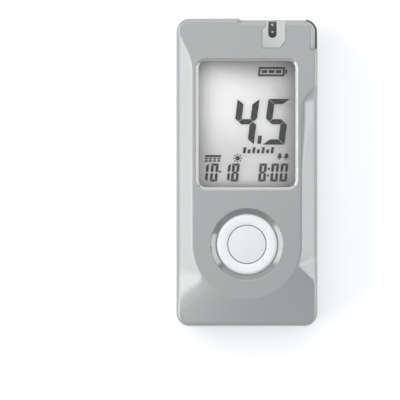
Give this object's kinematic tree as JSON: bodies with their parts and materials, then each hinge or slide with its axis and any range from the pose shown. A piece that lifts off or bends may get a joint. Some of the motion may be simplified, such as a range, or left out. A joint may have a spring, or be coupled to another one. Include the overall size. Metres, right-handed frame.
{
  "type": "blood glucose meter",
  "caption": "Pocket glucose meter with a large segment display, round ringed key, test strip slot at the top end, side data socket under a flap, and a sliding battery door.",
  "frame": {"origin": "middle of the flat rear face that the meter lies on", "axes": "+Z out of the display, +Y towards the test strip end, +X to the right seen from the front"},
  "size_m": [0.0436, 0.095, 0.0213],
  "materials": {
    "grey_plastic": "fine satin texture, silver grey",
    "white_plastic": "satin white",
    "key_white": "smooth white",
    "port_plastic": "satin light grey",
    "clear_lens": "clear polished sheet",
    "black_tape": "black foam tape",
    "lcd_glass": "display glass",
    "lcd_film": "silver reflector film",
    "dark_rubber": "soft dark grey",
    "board_green": "green solder mask",
    "chip_black": "black moulding compound",
    "contact_metal": "gold plated",
    "cell_sleeve": "shrink sleeve on the cell",
    "spring_steel": "nickel plated steel"
  },
  "bodies": {
    "case": {"front_cover": "grey_plastic", "rear_cover": "white_plastic", "display_lens": "clear_lens", "lens_adhesive": "black_tape", "lcd_front_glass": "lcd_glass", "lcd_rear_glass": "lcd_glass", "lcd_reflector": "lcd_film", "lcd_holder": "white_plastic", "zebra_strip": "dark_rubber", "main_board": "board_green", "controller_chip": "chip_black", "memory_chip": "chip_black", "board_components": "chip_black", "buzzer": "chip_black", "strip_port_guide": "port_plastic", "strip_connector": "chip_black", "strip_contacts": "contact_metal", "button_ring": "key_white", "switch_body": "chip_black", "battery_left": "cell_sleeve", "battery_right": "cell_sleeve", "battery_springs": "spring_steel", "battery_plates": "spring_steel", "case_screws": "spring_steel", "board_screws": "spring_steel", "data_jack": "chip_black", "end_trim": "port_plastic"},
    "key": {"button_key": "key_white", "switch_plunger": "chip_black"},
    "door": {"battery_door": "white_plastic"},
    "flap": {"port_flap": "dark_rubber"}
  },
  "joints": [
    {"name": "key_press", "type": "slide", "parent": "case", "child": "key", "axis": [0, 0, -1], "range_m": [0, 0.0005], "stiffness_N_per_m": 800},
    {"name": "door_slide", "type": "slide", "parent": "case", "child": "door", "axis": [0, -1, 0], "range_m": [0, 0.057]},
    {"name": "flap_swing", "type": "hinge", "parent": "case", "child": "flap", "pos_m": [0.02105, 0.0376, 0.01], "axis": [0, 0, -1], "range_deg": [0, 90]}
  ]
}
